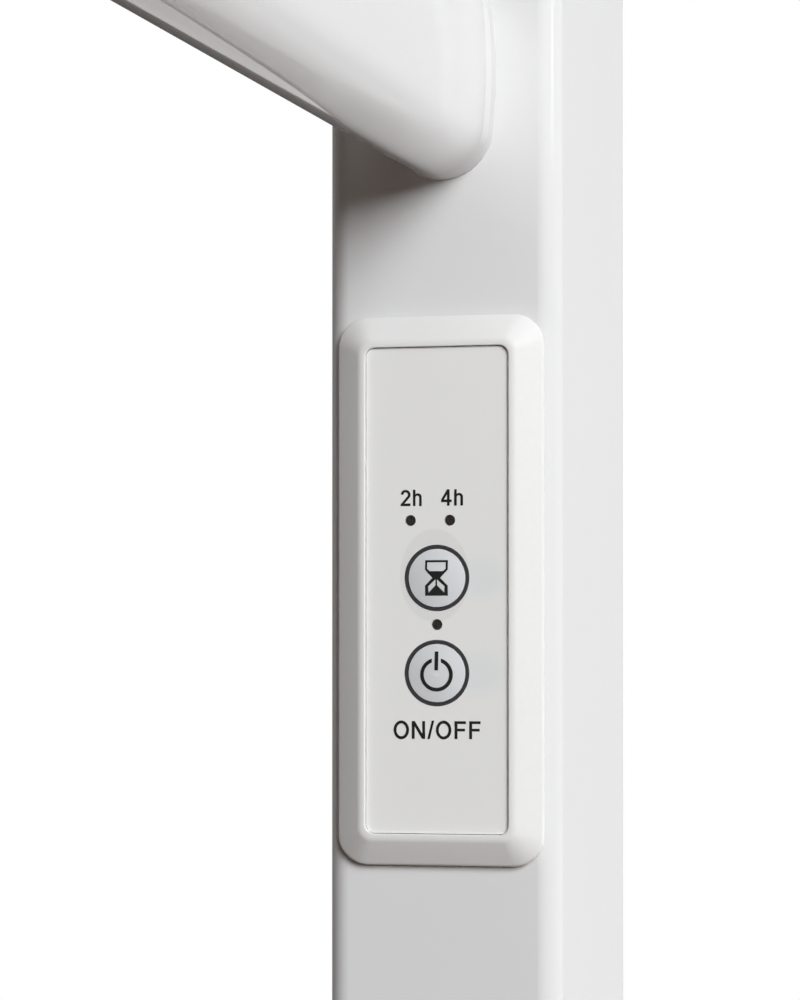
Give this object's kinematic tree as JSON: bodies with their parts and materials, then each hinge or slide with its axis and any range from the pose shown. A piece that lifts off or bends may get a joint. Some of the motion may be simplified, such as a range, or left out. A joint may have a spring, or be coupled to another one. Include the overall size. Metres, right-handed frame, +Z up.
{
  "type": "heated towel rail",
  "caption": "Ladder-shaped electric towel rail with rectangular posts, oval cross bars, a timer control with push keys set into one post, and wall brackets that adjust in depth.",
  "frame": {"origin": "centre of the four wall screws, in the plane of the wall", "axes": "+X to the right as seen from the room, +Y into the wall, +Z up; the control faces -X on the right post"},
  "size_m": [0.52, 0.084, 0.815],
  "materials": {
    "powder_coat": "white powder coat, gloss",
    "cap_plastic": "white, moulded, satin",
    "black_rubber": "matt",
    "bezel_plastic": "white, moulded, semi-gloss",
    "fascia_film": "light grey printed film",
    "key_plastic": "blue-grey, satin",
    "black_plastic": "moulded",
    "plated_steel": "zinc or tin plated",
    "smoked_acrylic": "smoked, polished",
    "lamp_resin": "pale phosphor resin",
    "board_laminate": "green solder mask",
    "relay_plastic": "moulded, dark blue",
    "capacitor_epoxy": "yellow case",
    "capacitor_sleeve": "shrunk sleeve on an aluminium can",
    "terminal_plastic": "green, moulded",
    "lead_sheath": "black insulation",
    "heating_silicone": "red-brown silicone sheath",
    "earth_brass": "turned",
    "bracket_metal": "plated, smooth"
  },
  "bodies": {
    "brackets": {"wall_sockets": "powder_coat", "grub_screws": "plated_steel"},
    "rail": {"right_post": "powder_coat", "left_post": "powder_coat", "towel_bar_1": "powder_coat", "towel_bar_2": "powder_coat", "towel_bar_3": "powder_coat", "towel_bar_4": "powder_coat", "towel_bar_5": "powder_coat", "weld_beads": "powder_coat", "top_cap_right": "cap_plastic", "top_cap_left": "cap_plastic", "bottom_cap_right": "cap_plastic", "bottom_cap_left": "cap_plastic", "cable_grommet": "black_rubber", "panel_gasket": "black_rubber", "panel_bezel": "bezel_plastic", "panel_fascia": "fascia_film", "tact_switches": "plated_steel", "light_pipes": "smoked_acrylic", "indicator_leds": "lamp_resin", "circuit_board": "board_laminate", "board_screws": "plated_steel", "relay": "relay_plastic", "film_capacitor": "capacitor_epoxy", "smoothing_capacitor": "capacitor_sleeve", "controller_chip": "black_plastic", "fuse": "plated_steel", "terminal_block": "terminal_plastic", "terminal_screws": "plated_steel", "control_housing": "bezel_plastic", "cold_leads": "lead_sheath", "cable_joint": "black_rubber", "heating_cable": "heating_silicone", "end_seal": "black_rubber", "earth_stud": "earth_brass", "earth_nut": "earth_brass", "rivet_nuts": "plated_steel", "bracket_screws": "plated_steel", "bracket_pins": "bracket_metal"},
    "timer_key": {"timer_button": "key_plastic", "timer_plunger": "black_plastic"},
    "power_key": {"power_button": "key_plastic", "power_plunger": "black_plastic"}
  },
  "joints": [
    {"name": "wall_depth", "type": "slide", "parent": "brackets", "child": "rail", "axis": [0, -1, 0], "range_m": [-0.005, 0.005]},
    {"name": "timer_press", "type": "slide", "parent": "rail", "child": "timer_key", "axis": [1, 0, 0], "range_m": [0, 0.0005], "stiffness_N_per_m": 2000, "springref_m": -0.0005},
    {"name": "power_press", "type": "slide", "parent": "rail", "child": "power_key", "axis": [1, 0, 0], "range_m": [0, 0.0005], "stiffness_N_per_m": 2000, "springref_m": -0.0005}
  ]
}
